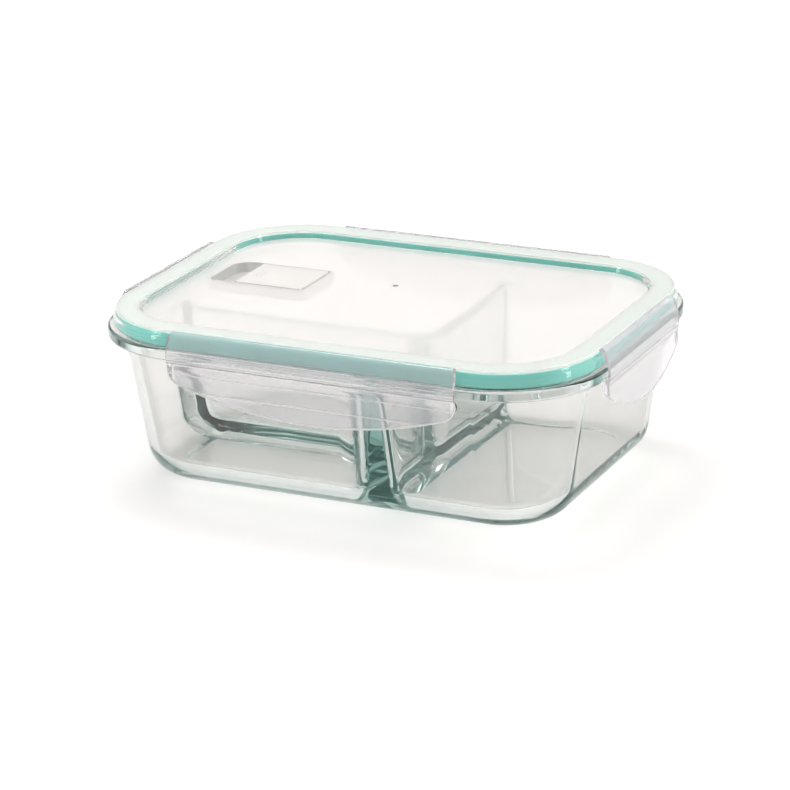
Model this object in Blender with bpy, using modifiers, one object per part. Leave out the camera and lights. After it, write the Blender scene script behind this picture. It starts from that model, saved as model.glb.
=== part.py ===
"""Rectangular glass food box with three compartments, a clip-on lid, four latches and a vent.

Metres, +Z up, origin at the centre of the underside. +X runs along the long side and -Y is
the front. Every section is given as (out, z) pairs, where "out" is the distance outwards
from the lid's own outline, a rounded rectangle of LID_LENGTH by LID_WIDTH.
"""
import bpy
import bmesh
import math
from mathutils import Vector

# Outline that every section is measured from
LID_LENGTH = 0.216
LID_WIDTH = 0.159
LID_CORNER = 0.0405
CORNER_STEPS = 8            # straight pieces in each rounded corner
ARC_STEPS = 4               # straight pieces in each rounded edge

# Glass container
RIM_TOP = 0.0666            # the seal lands here
RIM_UNDER = 0.0617          # underside of the flange that the latches reach over
RIM_OUT = 0.00385           # flange beyond the lid's outline
RIM_ROUND = 0.0012
WALL_OUT = -0.0032          # outer wall at WALL_OUT_Z
WALL_OUT_Z = 0.060
WALL_DRAFT = 0.157          # the wall leans out by this much for each unit of height
WALL_THICK = 0.0040
BASE_ROUND = 0.0138         # rounding between wall and underside
FLOOR = 0.0055              # floor thickness
CAVITY_ROUND = 0.008        # rounding between a compartment's walls and its floor
CAVITY_CORNER = 0.010       # upright corners beside a divider
LEDGE = 0.0001              # each compartment is this much narrower than the space above it

# Dividers, which are part of the glass
DIVIDER_TOP = 0.058
MAIN_DIVIDER_X = 0.020      # runs front to back
CROSS_DIVIDER_Y = -0.009    # runs from the left wall to the main divider
DIVIDER_HALF = 0.0026       # half thickness under the rounded top
DIVIDER_DRAFT = 0.045
DIVIDER_ROUND = 0.0022

# Lid shell
LID_TOP = 0.074
LID_WALL = 0.0013
LID_ROOF = 0.0017           # plastic above the seal channel
PANEL_TOP = 0.0706
PANEL_THICK = 0.0018
RECESS_OUT = -0.0099        # inner edge of the rim band
RECESS_DRAFT = 0.0008
SKIRT_BULGE = 0.00135
SKIRT_BOTTOM = 0.0669
PLUG_BOTTOM = 0.0645        # lower edge of the wall that dips into the glass
GAP = 0.0003                # kept between pieces that touch

# Latches
LATCH_LONG = 0.130
LATCH_SHORT = 0.077
HINGE_OUT = 0.0009
HINGE_Z = 0.0734
KNUCKLE = 0.0006
LATCH_THICK = 0.00125
LATCH_FACE = 0.0054         # outer face where it passes the glass flange
LATCH_REACH = 0.006         # outer face at the lowest point of the lip
LIP_BEND = 0.057
LIP_LOW = 0.0426            # lip's lower edge at mid length
LIP_END = 0.0535            # lip's lower edge at the ends

# Steam vent in the lid
POCKET_X = (-0.0892, -0.0440)
POCKET_Y = (-0.0020, 0.0265)
POCKET_FLOOR = 0.0658
POCKET_WALL = 0.0016
POCKET_ROUND = 0.0085       # back corner at the finger end
POCKET_TIP = 0.002          # front corner at the finger end
POCKET_SQUARE = 0.0015      # corners at the hinge end
FLAP_X = (-0.0770, -0.0458)
FLAP_THICK = 0.0016
FLAP_KNUCKLE = 0.0009
FLAP_GAP = 0.0005
PLUG_X = -0.0640
PLUG_HEAD = 0.0060
PLUG_STEM = 0.0034
VENT_HOLE = 0.0044

for old in list(bpy.data.objects):
    bpy.data.objects.remove(old, do_unlink=True)


def new_collection(name):
    """A collection linked to the scene."""
    collection = bpy.data.collections.new(name)
    bpy.context.scene.collection.children.link(collection)
    return collection


PARTS = new_collection("bento_lunch_box")
CUTTERS = new_collection("cutters")


def material(name, colour, roughness):
    """A non-metallic Principled material with one colour."""
    mat = bpy.data.materials.new(name)
    mat.use_nodes = True
    shader = mat.node_tree.nodes["Principled BSDF"]
    shader.inputs["Base Color"].default_value = (*colour, 1.0)
    shader.inputs["Roughness"].default_value = roughness
    shader.inputs["Metallic"].default_value = 0.0
    return mat


def rounded_ring(x_range, y_range, radii, z):
    """A level rounded rectangle, counter-clockwise from the +X +Y corner."""
    (x0, x1), (y0, y1) = x_range, y_range
    corners = ((x1, y1, -1, -1, 0), (x0, y1, 1, -1, 90), (x0, y0, 1, 1, 180), (x1, y0, -1, 1, 270))
    ring = []
    for (x, y, to_x, to_y, start), radius in zip(corners, radii):
        centre_x = x + to_x * radius
        centre_y = y + to_y * radius
        for step in range(CORNER_STEPS + 1):
            angle = math.radians(start + 90 * step / CORNER_STEPS)
            ring.append(Vector((centre_x + radius * math.cos(angle),
                                centre_y + radius * math.sin(angle), z)))
    return ring


def outline_ring(out, z):
    """The lid's outline moved outwards by out."""
    half_x = LID_LENGTH / 2 + out
    half_y = LID_WIDTH / 2 + out
    return rounded_ring((-half_x, half_x), (-half_y, half_y), [LID_CORNER + out] * 4, z)


def arc(centre, radius, start, end, steps=ARC_STEPS):
    """Points on a circular arc in a section, angles in degrees."""
    points = []
    for step in range(steps + 1):
        angle = math.radians(start + (end - start) * step / steps)
        points.append((centre[0] + radius * math.cos(angle), centre[1] + radius * math.sin(angle)))
    return points


def loft(name, rings, collection, closed=False):
    """Skin rings that have equal numbers of points; flat caps unless the section is closed."""
    mesh = bpy.data.meshes.new(name)
    bm = bmesh.new()
    rows = [[bm.verts.new(point) for point in ring] for ring in rings]
    count = len(rows[0])
    pairs = list(zip(rows, rows[1:]))
    if closed:
        pairs.append((rows[-1], rows[0]))
    else:
        bm.faces.new(rows[0])
        bm.faces.new(rows[-1])
    for lower, upper in pairs:
        for i in range(count):
            j = (i + 1) % count
            bm.faces.new((lower[i], lower[j], upper[j], upper[i]))
    bmesh.ops.recalc_face_normals(bm, faces=bm.faces)
    bm.to_mesh(mesh)
    bm.free()
    obj = bpy.data.objects.new(name, mesh)
    collection.objects.link(obj)
    return obj


def finish(obj, mat, parent=None):
    """Give the piece its material, smooth its round faces and parent it."""
    obj.data.materials.append(mat)
    obj.data.shade_smooth()
    obj.data.set_sharp_from_angle(angle=math.radians(35))
    if parent:
        obj.parent = parent
    return obj


def boolean(obj, tool, operation):
    """Join or cut a piece with a tool that is kept only as a hidden guide."""
    tool.hide_render = True
    tool.display_type = "WIRE"
    modifier = obj.modifiers.new(tool.name, "BOOLEAN")
    modifier.operation = operation
    modifier.object = tool
    modifier.solver = "EXACT"


def outer_wall(z):
    """Where the glass's outer wall stands at a height."""
    return WALL_OUT - WALL_DRAFT * (WALL_OUT_Z - z)


def inner_wall(z):
    """Where the glass's inner wall stands at a height."""
    return outer_wall(z) - WALL_THICK


def glass_outside():
    """Section of the glass from its underside up over the flange."""
    lean = math.degrees(math.atan(WALL_DRAFT))
    centre = outer_wall(BASE_ROUND) - BASE_ROUND / math.cos(math.radians(lean))
    base = arc((centre, BASE_ROUND), BASE_ROUND, -90, -lean, 6)
    fillet = 0.0015
    neck = arc((outer_wall(RIM_UNDER) + fillet, RIM_UNDER - fillet), fillet, 180, 90, 3)
    low = (RIM_OUT - RIM_ROUND, RIM_UNDER + RIM_ROUND)
    high = (RIM_OUT - RIM_ROUND, RIM_TOP - RIM_ROUND)
    return base + neck + arc(low, RIM_ROUND, -90, 0) + arc(high, RIM_ROUND, 0, 90)


def space_above_dividers():
    """Cutter for the open space between the dividers' tops and the rim."""
    edge = (inner_wall(RIM_TOP) - RIM_ROUND * 0.2, RIM_TOP - RIM_ROUND)
    section = [(inner_wall(DIVIDER_TOP), DIVIDER_TOP)]
    section += arc((edge[0] + RIM_ROUND, edge[1]), RIM_ROUND, 180, 90)
    section.append((section[-1][0], RIM_TOP + RIM_ROUND))
    return loft("space_above_dividers", [outline_ring(out, z) for out, z in section], CUTTERS)


def compartment_levels():
    """(height, inset near the floor, inset of divider faces at their rounded tops) per ring."""
    levels = []
    for step in range(6):
        angle = math.radians(90 * step / 5)
        levels.append((FLOOR + CAVITY_ROUND * (1 - math.cos(angle)),
                       CAVITY_ROUND * (1 - math.sin(angle)), 0.0))
    for step in range(ARC_STEPS + 1):
        angle = math.radians(90 * step / ARC_STEPS)
        levels.append((DIVIDER_TOP - DIVIDER_ROUND * (1 - math.sin(angle)), 0.0,
                       DIVIDER_ROUND * (1 - math.cos(angle))))
    return levels


def compartment(name, walls):
    """Cutter for one compartment. walls says, for left, right, front and back, whether that
    side is an outer wall (None) or a divider, given by its centre line."""
    left, right, front, back = walls
    rings = []
    levels = compartment_levels()
    for z, inset, open_out in levels:
        outside = inner_wall(z) - LEDGE - inset
        face = DIVIDER_HALF + DIVIDER_DRAFT * (DIVIDER_TOP - z) + inset - open_out
        x0 = -LID_LENGTH / 2 - outside if left is None else left + face
        x1 = LID_LENGTH / 2 + outside if right is None else right - face
        y0 = -LID_WIDTH / 2 - outside if front is None else front + face
        y1 = LID_WIDTH / 2 + outside if back is None else back - face
        corner_out = LID_CORNER + outside
        corner_in = CAVITY_CORNER - inset
        sides = ((right, back), (left, back), (left, front), (right, front))
        radii = [corner_out if a is None and b is None else corner_in for a, b in sides]
        rings.append(rounded_ring((x0, x1), (y0, y1), radii, z))
    middle = sum(rings[-1], Vector()) / len(rings[-1])
    lid_of_cutter = [middle + (point - middle) * 0.98 for point in rings[-1]]
    rings.append([point + Vector((0, 0, DIVIDER_ROUND)) for point in lid_of_cutter])
    return loft(name, rings, CUTTERS)


def glass_container():
    """The pressed glass body, with its dividers left standing between the compartments."""
    glass = loft("glass_container", [outline_ring(out, z) for out, z in glass_outside()], PARTS)
    boolean(glass, space_above_dividers(), "DIFFERENCE")
    plans = {
        "compartment_right": (MAIN_DIVIDER_X, None, None, None),
        "compartment_front_left": (None, MAIN_DIVIDER_X, None, CROSS_DIVIDER_Y),
        "compartment_back_left": (None, MAIN_DIVIDER_X, CROSS_DIVIDER_Y, None),
    }
    for name, walls in plans.items():
        boolean(glass, compartment(name, walls), "DIFFERENCE")
    return finish(glass, material("clear_glass", (0.80, 0.92, 0.89), 0.03))


def lid_section():
    """Section of the lid from the panel's top, over the rim band, to the panel's underside."""
    edge = 0.0008
    recess = [(RECESS_OUT - RECESS_DRAFT, PANEL_TOP)]
    band = arc((RECESS_OUT + edge, LID_TOP - edge), edge, 180, 90, 3)
    band += arc((-edge, LID_TOP - edge), edge, 90, 0, 3)
    skirt = [(0.0, 0.0726), (0.0009, 0.0714), (SKIRT_BULGE, 0.0704), (SKIRT_BULGE, 0.0675),
             (SKIRT_BULGE - 0.0004, SKIRT_BOTTOM)]
    inside = SKIRT_BULGE - LID_WALL
    channel = [(inside, SKIRT_BOTTOM), (inside, 0.0702), (-LID_WALL, LID_TOP - LID_ROOF)]
    plug_face = RECESS_OUT + LID_WALL - 0.0001
    plug = [(plug_face, LID_TOP - LID_ROOF), (plug_face, PLUG_BOTTOM + 0.0004),
            (plug_face - 0.0004, PLUG_BOTTOM), (plug_face - LID_WALL, PLUG_BOTTOM)]
    panel = [(plug_face - LID_WALL - 0.0004, PANEL_TOP - PANEL_THICK)]
    return recess + band + skirt + channel + plug + panel


def pocket_ring(grow, z):
    """Plan of the vent pocket, widened by grow."""
    x_range = (POCKET_X[0] - grow, POCKET_X[1] + grow)
    y_range = (POCKET_Y[0] - grow, POCKET_Y[1] + grow)
    hinge_end = POCKET_SQUARE + grow
    wide = POCKET_ROUND + grow
    tip = POCKET_TIP + grow
    return rounded_ring(x_range, y_range, (hinge_end, wide, tip, hinge_end), z)


def pocket_middle():
    """Middle of the vent pocket across the box."""
    return (POCKET_Y[0] + POCKET_Y[1]) / 2


def round_cutter(name, radius, centre, low, high):
    """An upright cylinder that cuts a round hole."""
    bm = bmesh.new()
    bmesh.ops.create_cone(bm, cap_ends=True, segments=24, radius1=radius, radius2=radius,
                          depth=high - low)
    bmesh.ops.translate(bm, verts=bm.verts, vec=(centre[0], centre[1], (low + high) / 2))
    mesh = bpy.data.meshes.new(name)
    bm.to_mesh(mesh)
    bm.free()
    cutter = bpy.data.objects.new(name, mesh)
    CUTTERS.objects.link(cutter)
    return cutter


def lid_shell(parent):
    """The moulded lid: rim band, sunk panel, seal channel and the pocket for the vent."""
    lid = loft("lid_shell", [outline_ring(out, z) for out, z in lid_section()], PARTS)
    under = POCKET_FLOOR - POCKET_WALL
    tray = loft("vent_tray", [pocket_ring(POCKET_WALL, under),
                              pocket_ring(POCKET_WALL, PANEL_TOP - PANEL_THICK / 2)], CUTTERS)
    hollow = loft("vent_hollow", [pocket_ring(0, POCKET_FLOOR),
                                  pocket_ring(0, PANEL_TOP + PANEL_THICK)], CUTTERS)
    hole = round_cutter("vent_hole", VENT_HOLE, (PLUG_X, pocket_middle()),
                        under - PANEL_THICK, POCKET_FLOOR + PANEL_THICK)
    boolean(lid, tray, "UNION")
    boolean(lid, hollow, "DIFFERENCE")
    boolean(lid, hole, "DIFFERENCE")
    return finish(lid, material("frosted_clear_plastic", (0.93, 0.94, 0.93), 0.25), parent)


def lid_seal(parent):
    """The silicone ring that fills the lid's channel and presses on the glass rim."""
    roof = LID_TOP - LID_ROOF - GAP
    bottom = RIM_TOP + GAP
    outer = SKIRT_BULGE - LID_WALL - GAP
    inner = RECESS_OUT + LID_WALL - 0.0001 + GAP
    groove_roof = bottom + 0.0023
    section = [(inner, bottom), (inner, roof), (-LID_WALL - GAP, roof), (outer, 0.0701),
               (outer, bottom), (-0.0030, bottom), (-0.0034, groove_roof),
               (-0.0054, groove_roof), (-0.0058, bottom)]
    seal = loft("lid_seal", [outline_ring(out, z) for out, z in section], PARTS, closed=True)
    return finish(seal, material("teal_silicone", (0.16, 0.62, 0.55), 0.45), parent)


def latch_section(along, half_length):
    """Section of a latch, measured from its hinge as (outwards, up), at a place along it."""
    drop = (abs(along) / half_length) ** 2
    low = LIP_LOW + (LIP_END - LIP_LOW) * drop
    reach = LATCH_REACH - LATCH_FACE
    lip_out = LATCH_FACE + reach * (LIP_BEND - low) / (LIP_BEND - LIP_LOW)
    inner_face = LATCH_FACE - LATCH_THICK
    edge = LATCH_THICK / 2
    section = arc((HINGE_OUT, HINGE_Z), KNUCKLE, 270, 80, 5)
    section += [(0.0024, 0.0735), (0.0033, 0.0722), (0.0037, 0.0692), (0.0049, 0.0679),
                (LATCH_FACE, 0.0664), (LATCH_FACE, LIP_BEND), (lip_out, low + edge * 0.6),
                (lip_out - edge * 0.4, low), (lip_out - LATCH_THICK + edge * 0.4, low),
                (lip_out - LATCH_THICK, low + edge * 0.6), (inner_face, LIP_BEND),
                (inner_face, 0.0662), (0.0024, 0.0676), (0.0020, 0.0712)]
    return [(out - HINGE_OUT, z - HINGE_Z) for out, z in section]


def latch(name, length, side, turn, parent, mat):
    """A flap on its film hinge; its lower edge is a long arc for the fingers. Built facing -Y,
    with its origin on the hinge line, then turned to face its own side of the lid."""
    columns = 16
    rings = []
    for column in range(columns + 1):
        along = length * (column / columns - 0.5)
        section = latch_section(along, length / 2)
        rings.append([Vector((along, -out, up)) for out, up in section])
    flap = loft(name, rings, PARTS)
    flap.location = (side[0] * (LID_LENGTH / 2 + HINGE_OUT), side[1] * (LID_WIDTH / 2 + HINGE_OUT),
                     HINGE_Z)
    flap.rotation_euler = (0, 0, math.radians(turn))
    return finish(flap, mat, parent)


def latches(parent):
    """Two long latches at the front and back, two short ones at the ends."""
    mat = material("milky_latch_plastic", (0.82, 0.81, 0.83), 0.35)
    latch("latch_front", LATCH_LONG, (0, -1), 0, parent, mat)
    latch("latch_back", LATCH_LONG, (0, 1), 180, parent, mat.copy())
    latch("latch_left", LATCH_SHORT, (-1, 0), -90, parent, mat.copy())
    latch("latch_right", LATCH_SHORT, (1, 0), 90, parent, mat.copy())


def flap_hinge_z():
    """Height of the vent flap's hinge line, set so that the knuckle lies flush."""
    return PANEL_TOP - FLAP_KNUCKLE


def vent_flap(parent):
    """The flap that closes the vent, with a rolled knuckle along its hinge line."""
    half = (POCKET_Y[1] - POCKET_Y[0]) / 2 - FLAP_GAP
    reach = FLAP_X[0] - FLAP_X[1]
    tip = 0.0004
    section = arc((0, 0), FLAP_KNUCKLE, 90, -90, 6)
    section += [(-FLAP_KNUCKLE, FLAP_KNUCKLE - FLAP_THICK), (reach + tip, FLAP_KNUCKLE - FLAP_THICK),
                (reach, FLAP_KNUCKLE - FLAP_THICK + tip), (reach, FLAP_KNUCKLE - tip),
                (reach + tip, FLAP_KNUCKLE)]
    rings = [[Vector((x, y, z)) for x, z in section] for y in (-half, half)]
    flap = loft("vent_flap", rings, PARTS)
    flap.location = (FLAP_X[1], pocket_middle(), flap_hinge_z())
    return finish(flap, material("clear_flap_plastic", (0.94, 0.94, 0.93), 0.2), parent)


def vent_plug(parent):
    """The silicone plug under the flap: a turned head that seals on the pocket's floor and a
    stem that stands in the vent hole."""
    head_low = POCKET_FLOOR + GAP
    head_high = head_low + 0.0016
    top = PANEL_TOP - FLAP_THICK - GAP
    stem_low = POCKET_FLOOR - POCKET_WALL + 0.0002
    neck = 0.0026
    soft = 0.0004
    profile = [(0, top), (neck, top), (neck, head_high + soft), (PLUG_HEAD - soft, head_high),
               (PLUG_HEAD, head_high - soft), (PLUG_HEAD, head_low), (PLUG_STEM, head_low),
               (PLUG_STEM, stem_low + soft * 2), (PLUG_STEM - soft * 2, stem_low), (0, stem_low)]
    mesh = bpy.data.meshes.new("vent_plug")
    bm = bmesh.new()
    verts = [bm.verts.new((x, 0, z)) for x, z in profile]
    for a, b in zip(verts, verts[1:]):
        bm.edges.new((a, b))
    bm.to_mesh(mesh)
    bm.free()
    plug = bpy.data.objects.new("vent_plug", mesh)
    PARTS.objects.link(plug)
    screw = plug.modifiers.new("turn", "SCREW")
    screw.steps = 24
    screw.render_steps = 24
    screw.use_merge_vertices = True
    screw.merge_threshold = 0.00001
    plug.location = (PLUG_X, pocket_middle(), 0)
    return finish(plug, material("white_silicone", (0.85, 0.86, 0.86), 0.5), parent)


glass = glass_container()
lid = bpy.data.objects.new("lid", None)
PARTS.objects.link(lid)
lid_shell(lid)
lid_seal(lid)
latches(lid)
vent_flap(lid)
vent_plug(lid)
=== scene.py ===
"""Looks of a glass food box with three compartments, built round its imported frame."""
import math

import bmesh
import bpy
from mathutils import Matrix, Vector


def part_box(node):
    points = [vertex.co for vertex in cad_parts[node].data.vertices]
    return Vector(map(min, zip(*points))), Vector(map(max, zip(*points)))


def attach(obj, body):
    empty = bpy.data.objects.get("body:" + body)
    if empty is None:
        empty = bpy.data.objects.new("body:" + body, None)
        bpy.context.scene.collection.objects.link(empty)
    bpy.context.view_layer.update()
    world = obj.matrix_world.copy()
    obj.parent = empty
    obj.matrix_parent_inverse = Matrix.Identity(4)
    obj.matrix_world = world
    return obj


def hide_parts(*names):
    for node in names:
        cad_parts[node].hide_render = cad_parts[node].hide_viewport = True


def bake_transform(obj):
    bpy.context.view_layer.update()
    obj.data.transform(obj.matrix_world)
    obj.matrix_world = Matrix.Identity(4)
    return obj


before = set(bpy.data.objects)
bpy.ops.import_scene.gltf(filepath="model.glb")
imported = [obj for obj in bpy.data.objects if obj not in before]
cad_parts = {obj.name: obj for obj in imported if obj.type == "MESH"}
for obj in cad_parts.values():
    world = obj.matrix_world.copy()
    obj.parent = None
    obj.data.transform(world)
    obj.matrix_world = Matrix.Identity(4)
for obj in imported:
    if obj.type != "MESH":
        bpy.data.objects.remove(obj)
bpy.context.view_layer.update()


# ---- Table and studio -----------------------------------------------------------------
# The box stands on a white table in a bright tent. A long lens looks down at its front
# right corner. The side behind the camera is darker, which draws the edges of the glass.

TENT_BRIGHT = (0.90, 0.88, 0.86, 1)
TENT_DIM = (0.10, 0.098, 0.095, 1)
TENT_BRIGHT_SIDE = (0.10, 0.45, 0.89)
TENT_DIM_BELOW = -0.6
TENT_BRIGHT_ABOVE = 0.7
LAMP_COLOUR = (1.0, 0.98, 0.96)
LAMP_AIM = Vector((0, 0, 0.04))
TABLE_SIZE = 14.0
TABLE_DROP = 0.0002
TABLE_COLOUR = (0.86, 0.86, 0.86, 1)
TABLE_GLOW = 0.20
GLASS_BOUNCES = 24

bpy.context.scene.view_settings.view_transform = "Standard"
bpy.context.scene.cycles.glossy_bounces = GLASS_BOUNCES
bpy.context.scene.cycles.transmission_bounces = GLASS_BOUNCES
bpy.context.scene.cycles.transparent_max_bounces = GLASS_BOUNCES
bpy.context.scene.cycles.max_bounces = GLASS_BOUNCES + 4

world = bpy.data.worlds.new("tent")
bpy.context.scene.world = world
world.use_nodes = True
tent = world.node_tree
direction = tent.nodes.new("ShaderNodeTexCoord")
facing = tent.nodes.new("ShaderNodeVectorMath")
facing.operation = "DOT_PRODUCT"
facing.inputs[1].default_value = TENT_BRIGHT_SIDE
spread = tent.nodes.new("ShaderNodeMapRange")
spread.inputs["From Min"].default_value = TENT_DIM_BELOW
spread.inputs["From Max"].default_value = TENT_BRIGHT_ABOVE
shade = tent.nodes.new("ShaderNodeMix")
shade.data_type = "RGBA"
shade.inputs["A"].default_value = TENT_DIM
shade.inputs["B"].default_value = TENT_BRIGHT
tent.links.new(direction.outputs["Generated"], facing.inputs[0])
tent.links.new(facing.outputs["Value"], spread.inputs["Value"])
tent.links.new(spread.outputs["Result"], shade.inputs["Factor"])
tent.links.new(shade.outputs["Result"], tent.nodes["Background"].inputs["Color"])


def soft_box(name, place, width, height, watts):
    """A flat lamp aimed at the box."""
    lamp = bpy.data.lights.new(name, "AREA")
    lamp.shape = "RECTANGLE"
    lamp.size = width
    lamp.size_y = height
    lamp.energy = watts
    lamp.color = LAMP_COLOUR
    holder = bpy.data.objects.new(name, lamp)
    holder.location = place
    holder.rotation_euler = (LAMP_AIM - holder.location).to_track_quat("-Z", "Y").to_euler()
    bpy.context.scene.collection.objects.link(holder)


soft_box("soft_box_over", (-0.45, 0.45, 1.3), 0.45, 0.45, 5)
soft_box("strip_right", (1.2, 0.1, 0.45), 0.12, 0.8, 2)
soft_box("strip_left", (-0.9, -0.9, 0.6), 0.15, 0.8, 2.5)


def new_finish(name):
    """A new material and its main shader."""
    material = bpy.data.materials.new(name)
    material.use_nodes = True
    return material, material.node_tree.nodes["Principled BSDF"]


bm = bmesh.new()
bmesh.ops.create_grid(bm, x_segments=8, y_segments=8, size=TABLE_SIZE / 2)
table_mesh = bpy.data.meshes.new("table")
bm.to_mesh(table_mesh)
bm.free()
table_mesh.transform(Matrix.Translation((0, 0, -TABLE_DROP)))
table = bpy.data.objects.new("table", table_mesh)
bpy.context.scene.collection.objects.link(table)
table_white, table_shader = new_finish("table_white")
table_shader.inputs["Base Color"].default_value = TABLE_COLOUR
table_shader.inputs["Emission Color"].default_value = (1.0, 1.0, 1.0, 1)
table_shader.inputs["Emission Strength"].default_value = TABLE_GLOW
table_shader.inputs["Roughness"].default_value = 0.7
table_mesh.materials.append(table_white)

CAMERA_PLACE = Vector((0.5788, -1.1890, 0.4985))
CAMERA_AIM = Vector((0.0097, -0.0236, 0.0370))
CAMERA_ROLL = -1.48
CAMERA_LENS = 149.4
CAMERA_SENSOR = 36

camera_data = bpy.data.cameras.new("camera")
camera_data.sensor_width = CAMERA_SENSOR
camera_data.lens = CAMERA_LENS
camera = bpy.data.objects.new("camera", camera_data)
look = (CAMERA_AIM - CAMERA_PLACE).to_track_quat("-Z", "Y").to_matrix().to_4x4()
roll = Matrix.Rotation(math.radians(CAMERA_ROLL), 4, "Z")
camera.matrix_world = Matrix.Translation(CAMERA_PLACE) @ look @ roll
bpy.context.scene.collection.objects.link(camera)
bpy.context.scene.camera = camera


# ---- Glass container ------------------------------------------------------------------
# One piece of pressed glass. A mould forms the outside, and three plungers press the
# compartments, so the dividers are glass that was left standing between the plungers.
# All sections are (out, z) pairs, out being the distance from the lid's own outline.

glass_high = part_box("glass_container")[1]
RIM_OUT = 0.00385
OUTLINE_X = glass_high.x - RIM_OUT
OUTLINE_Y = glass_high.y - RIM_OUT
OUTLINE_CORNER = 0.0405
CORNER_STEPS = 20

RIM_TOP = glass_high.z
RIM_UNDER = 0.0617
RIM_ROUND = 0.0012
NECK_ROUND = 0.0018
WALL_OUT = -0.0032
WALL_OUT_Z = 0.060
WALL_DRAFT = 0.157
WALL_THICK = 0.0040
BASE_ROUND = 0.0138
FOOT_HOLLOW = 0.0005
FLOOR = 0.0055
CAVITY_ROUND = 0.008
CAVITY_CORNER = 0.010
LEDGE = 0.00004
ROUND_STEPS = 10

DIVIDER_TOP = 0.058
MAIN_DIVIDER_X = 0.020
CROSS_DIVIDER_Y = -0.009
DIVIDER_HALF = 0.0026
DIVIDER_DRAFT = 0.045
DIVIDER_ROUND = 0.0022
PLUNGER_TAPER = 0.98

# Base colour of the glass seen face-on, and painted shade: the grey it turns where it is seen
# edge-on, standing in for the dim surroundings it reflects.
GLASS_FACING = (0.955, 0.930, 0.924, 1)
GLASS_EDGE_ON_PAINTED_SHADE = (0.50, 0.487, 0.48, 1)
GLASS_DEEP = (0.15, 0.50, 0.46, 1)
GLASS_DENSITY = 13
GLASS_SHADOW = (0.93, 0.92, 0.92)


def arc(centre, radius, start, end, steps):
    """Points on a circular arc in a section, angles in degrees."""
    points = []
    for step in range(steps + 1):
        angle = math.radians(start + (end - start) * step / steps)
        points.append((centre[0] + radius * math.cos(angle), centre[1] + radius * math.sin(angle)))
    return points


def outer_wall(z):
    """Where the glass's outer wall stands at a height."""
    return WALL_OUT - WALL_DRAFT * (WALL_OUT_Z - z)


def inner_wall(z):
    """Where the glass's inner wall stands at a height."""
    return outer_wall(z) - WALL_THICK


def new_piece_nodes(name, inputs):
    """A new tree of mesh nodes with named inputs, which puts out one piece."""
    tree = bpy.data.node_groups.new(name, "GeometryNodeTree")
    for label, kind in inputs.items():
        tree.interface.new_socket(name=label, in_out="INPUT", socket_type="NodeSocket" + kind)
    tree.interface.new_socket(name="Piece", in_out="OUTPUT", socket_type="NodeSocketGeometry")
    return tree


def build_sweep():
    """Nodes that carry a section round the lid's outline, a rectangle with round corners."""
    tree = new_piece_nodes("sweep_round_outline", {
        "Section": "Geometry", "Half Length": "Float", "Half Width": "Float",
        "Corner Radius": "Float", "Corner Steps": "Int", "Finish": "Material"})
    nodes, links = tree.nodes, tree.links
    given = nodes.new("NodeGroupInput")
    result = nodes.new("NodeGroupOutput")
    long_side = nodes.new("ShaderNodeMath")
    long_side.operation = "MULTIPLY"
    long_side.inputs[1].default_value = 2
    short_side = nodes.new("ShaderNodeMath")
    short_side.operation = "MULTIPLY"
    short_side.inputs[1].default_value = 2
    rectangle = nodes.new("GeometryNodeCurvePrimitiveQuadrilateral")
    rounded = nodes.new("GeometryNodeFilletCurve")
    rounded.mode = "POLY"
    level = nodes.new("GeometryNodeSetCurveNormal")
    level.mode = "Z_UP"
    profile = nodes.new("GeometryNodeMeshToCurve")
    skin = nodes.new("GeometryNodeCurveToMesh")
    smooth = nodes.new("GeometryNodeSetShadeSmooth")
    real = nodes.new("GeometryNodeRealizeInstances")
    paint = nodes.new("GeometryNodeSetMaterial")
    links.new(given.outputs["Half Length"], long_side.inputs[0])
    links.new(given.outputs["Half Width"], short_side.inputs[0])
    links.new(long_side.outputs[0], rectangle.inputs["Width"])
    links.new(short_side.outputs[0], rectangle.inputs["Height"])
    links.new(rectangle.outputs[0], rounded.inputs["Curve"])
    links.new(given.outputs["Corner Radius"], rounded.inputs["Radius"])
    links.new(given.outputs["Corner Steps"], rounded.inputs["Count"])
    links.new(rounded.outputs[0], level.inputs[0])
    links.new(level.outputs[0], skin.inputs["Curve"])
    links.new(given.outputs["Section"], profile.inputs[0])
    links.new(profile.outputs[0], skin.inputs["Profile Curve"])
    links.new(skin.outputs[0], smooth.inputs[0])
    links.new(smooth.outputs[0], real.inputs[0])
    links.new(real.outputs[0], paint.inputs["Geometry"])
    links.new(given.outputs["Finish"], paint.inputs["Material"])
    links.new(paint.outputs[0], result.inputs[0])
    return tree


SWEEP = build_sweep()


def set_inputs(modifier, values):
    """Set a node modifier's inputs by their identifiers."""
    for item in modifier.node_group.interface.items_tree:
        if item.item_type == "SOCKET" and item.in_out == "INPUT" and item.name in values:
            modifier[item.identifier] = values[item.name]


def plain_mesh(obj):
    """Turn an object's evaluated result into its own mesh and drop its modifiers."""
    depsgraph = bpy.context.evaluated_depsgraph_get()
    mesh = bpy.data.meshes.new_from_object(obj.evaluated_get(depsgraph))
    obj.modifiers.clear()
    obj.data = mesh
    mesh.name = obj.name
    return obj


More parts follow.
